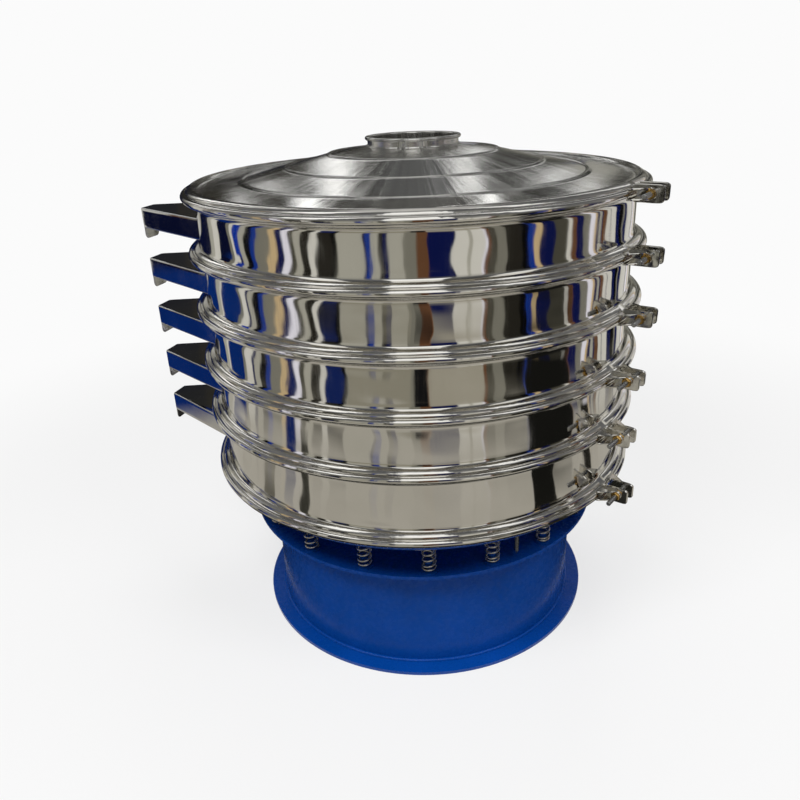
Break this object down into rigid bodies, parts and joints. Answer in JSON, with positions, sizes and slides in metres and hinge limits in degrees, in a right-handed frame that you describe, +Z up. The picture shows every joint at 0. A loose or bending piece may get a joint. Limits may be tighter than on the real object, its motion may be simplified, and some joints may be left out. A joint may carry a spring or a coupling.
{
  "type": "vibrating sieve",
  "caption": "Round vibrating sieve: stacked clamped frames with side outlets and a stepped lid on a spring ring over a spool-shaped base.",
  "frame": {"origin": "centre of the base's underside, on the floor", "axes": "+Z up along the machine's axis, +X to the right as seen from the front, +Y to the back; the outlets point to -X"},
  "size_m": [1.145, 1, 1.12],
  "materials": {
    "blue_paint": "gloss",
    "polished_stainless": "mirror polish",
    "outlet_stainless": "mirror polish",
    "lid_stainless": "spun polish",
    "tray_stainless": "satin",
    "screen_cloth": "woven wire",
    "spring_steel": "satin",
    "fastener_steel": "zinc plated",
    "bearing_steel": "ground",
    "core_steel": "varnished laminations",
    "nut_brass": "polished",
    "weight_iron": "machined",
    "motor_paint": "satin",
    "gasket_rubber": "satin",
    "ball_rubber": "satin",
    "black_plastic": "satin"
  },
  "bodies": {
    "base": {"base_floor_ring": "blue_paint", "base_wall": "blue_paint", "base_top_ring": "blue_paint", "lower_spring_seats": "blue_paint", "hand_hole_cover": "blue_paint", "hand_hole_screws": "fastener_steel", "cable_gland": "black_plastic", "springs": "spring_steel"},
    "sieve": {"vibrating_table": "blue_paint", "upper_spring_seats": "blue_paint", "stop_studs": "fastener_steel", "frame_1": "polished_stainless", "outlet_1": "outlet_stainless", "frame_2": "polished_stainless", "outlet_2": "outlet_stainless", "frame_3": "polished_stainless", "outlet_3": "outlet_stainless", "frame_4": "polished_stainless", "outlet_4": "outlet_stainless", "frame_5": "polished_stainless", "outlet_5": "outlet_stainless", "screen_ring_1": "polished_stainless", "screen_mesh_1": "screen_cloth", "ball_tray_1": "tray_stainless", "screen_ring_2": "polished_stainless", "screen_mesh_2": "screen_cloth", "ball_tray_2": "tray_stainless", "screen_ring_3": "polished_stainless", "screen_mesh_3": "screen_cloth", "ball_tray_3": "tray_stainless", "screen_ring_4": "polished_stainless", "screen_mesh_4": "screen_cloth", "ball_tray_4": "tray_stainless", "rubber_balls": "ball_rubber", "screen_gaskets": "gasket_rubber", "end_gaskets": "gasket_rubber", "discharge_dome": "tray_stainless", "lid": "lid_stainless", "inlet_collar": "lid_stainless", "clamp_band_1": "polished_stainless", "clamp_band_2": "polished_stainless", "clamp_band_3": "polished_stainless", "clamp_band_4": "polished_stainless", "clamp_band_5": "polished_stainless", "clamp_band_6": "polished_stainless", "clamp_bolts": "fastener_steel", "clamp_nuts": "nut_brass", "motor_body": "motor_paint", "motor_flange": "motor_paint", "motor_top_cover": "motor_paint", "motor_bottom_cover": "motor_paint", "terminal_box": "motor_paint", "motor_bolts": "fastener_steel", "motor_bearings": "bearing_steel", "motor_stator": "core_steel"},
    "rotor": {"rotor_core": "core_steel", "rotor_shaft": "bearing_steel", "upper_weight": "weight_iron", "lower_fixed_weight": "weight_iron"},
    "turning_weight": {"lower_turning_weight": "weight_iron"}
  },
  "joints": [
    {"name": "table_bounce", "type": "slide", "parent": "base", "child": "sieve", "axis": [0, 0, 1], "range_m": [-0.004, 0.004], "stiffness_N_per_m": 810000, "springref_m": 0.00396, "deforming": ["springs"]},
    {"name": "rotor_spin", "type": "hinge", "parent": "sieve", "child": "rotor", "pos_m": [0, 0, 0.335], "axis": [0, 0, 1], "continuous": true},
    {"name": "weight_turn", "type": "hinge", "parent": "rotor", "child": "turning_weight", "pos_m": [0, 0, 0.193], "axis": [0, 0, 1], "range_deg": [0, 90]}
  ]
}
